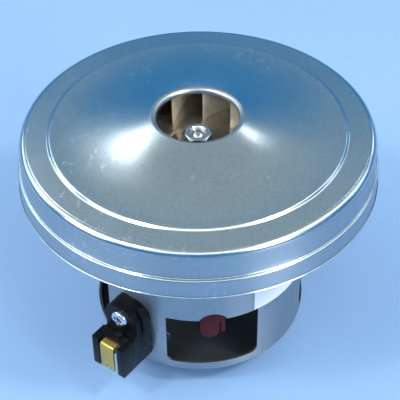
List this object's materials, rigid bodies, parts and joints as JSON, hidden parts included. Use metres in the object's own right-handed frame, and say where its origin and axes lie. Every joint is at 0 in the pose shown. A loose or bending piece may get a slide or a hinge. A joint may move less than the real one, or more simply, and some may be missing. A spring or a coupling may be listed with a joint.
{
  "type": "vacuum motor unit",
  "caption": "Vacuum cleaner motor: brushed motor in a windowed steel can, with a single-stage fan under a round pressed cover with an inlet eye and spring-loaded brushes in side holders.",
  "frame": {"origin": "centre of the bearing boss's lower face, on the motor axis", "axes": "+Z along the motor axis from the boss to the inlet eye; -Y is the front, where the red tongue shows in a window"},
  "size_m": [0.135, 0.135, 0.1045],
  "materials": {
    "galvanised_sheet": "bright zinc-coated sheet",
    "can_sheet": "zinc-coated drawn sheet",
    "bridge_steel": "plain pressed sheet",
    "zinc_screw": "bright zinc",
    "zinc_nut": "bright zinc",
    "dark_plastic": "moulded, dull",
    "black_plastic": "moulded, slight gloss",
    "red_plastic": "moulded, dull",
    "brass_strip": "rolled strip",
    "cage_brass": "pressed strip",
    "bearing_steel": "ground",
    "shaft_steel": "turned and ground",
    "spring_steel": "drawn wire",
    "lamination_steel": "punched sheet in layers",
    "copper_winding": "enamelled wire",
    "commutator_copper": "turned copper",
    "brown_phenolic": "moulded resin",
    "fan_aluminium": "rolled sheet",
    "carbon": "pressed carbon",
    "label_paper": "bare white label"
  },
  "bodies": {
    "frame": {"fan_cover": "galvanised_sheet", "motor_housing": "can_sheet", "bearing_bridge": "bridge_steel", "bridge_screws": "zinc_screw", "diffuser": "dark_plastic", "diffuser_screws": "zinc_screw", "upper_bearing_outer_ring": "bearing_steel", "lower_bearing_outer_ring": "bearing_steel", "stator_core": "lamination_steel", "front_field_coil": "copper_winding", "rear_field_coil": "copper_winding", "upper_stator_insulator": "red_plastic", "lower_stator_insulator": "red_plastic", "left_brush_holder": "black_plastic", "right_brush_holder": "black_plastic", "left_brush_tube": "brass_strip", "right_brush_tube": "brass_strip", "left_brush_terminal": "brass_strip", "right_brush_terminal": "brass_strip", "left_brush_spring": "spring_steel", "right_brush_spring": "spring_steel", "holder_screws": "zinc_screw", "rating_label": "label_paper"},
    "rotor": {"shaft": "shaft_steel", "upper_bearing_inner_ring": "bearing_steel", "lower_bearing_inner_ring": "bearing_steel", "armature_core": "lamination_steel", "armature_winding": "copper_winding", "commutator_hub": "brown_phenolic", "commutator_bars": "commutator_copper", "fan_spacer": "shaft_steel", "impeller_back_disc": "fan_aluminium", "impeller_blades": "fan_aluminium", "impeller_front_disc": "fan_aluminium", "fan_washer": "shaft_steel", "lock_washer": "shaft_steel", "fan_nut": "zinc_nut"},
    "upper_ball_set": {"upper_bearing_balls": "bearing_steel", "upper_bearing_cage": "cage_brass"},
    "lower_ball_set": {"lower_bearing_balls": "bearing_steel", "lower_bearing_cage": "cage_brass"},
    "left_brush": {"left_carbon_brush": "carbon"},
    "right_brush": {"right_carbon_brush": "carbon"}
  },
  "joints": [
    {"name": "rotor_spin", "type": "hinge", "parent": "frame", "child": "rotor", "pos_m": [0, 0, 0.0815], "axis": [0, 0, 1], "continuous": true},
    {"name": "upper_ball_orbit", "type": "hinge", "parent": "frame", "child": "upper_ball_set", "pos_m": [0, 0, 0.0815], "axis": [0, 0, 1], "continuous": true},
    {"name": "lower_ball_orbit", "type": "hinge", "parent": "frame", "child": "lower_ball_set", "pos_m": [0, 0, 0.0045], "axis": [0, 0, 1], "continuous": true},
    {"name": "left_brush_slide", "type": "slide", "parent": "frame", "child": "left_brush", "axis": [-0.6088, -0.7934, 0], "range_m": [0, 0.004], "stiffness_N_per_m": 200, "springref_m": -0.015, "deforming": ["left_brush_spring"]},
    {"name": "right_brush_slide", "type": "slide", "parent": "frame", "child": "right_brush", "axis": [0.6088, 0.7934, 0], "range_m": [0, 0.004], "stiffness_N_per_m": 200, "springref_m": -0.015, "deforming": ["right_brush_spring"]}
  ],
  "couplings": [
    {"joint": "upper_ball_orbit", "follows": "rotor_spin", "ratio": 0.368},
    {"joint": "lower_ball_orbit", "follows": "rotor_spin", "ratio": 0.368}
  ]
}
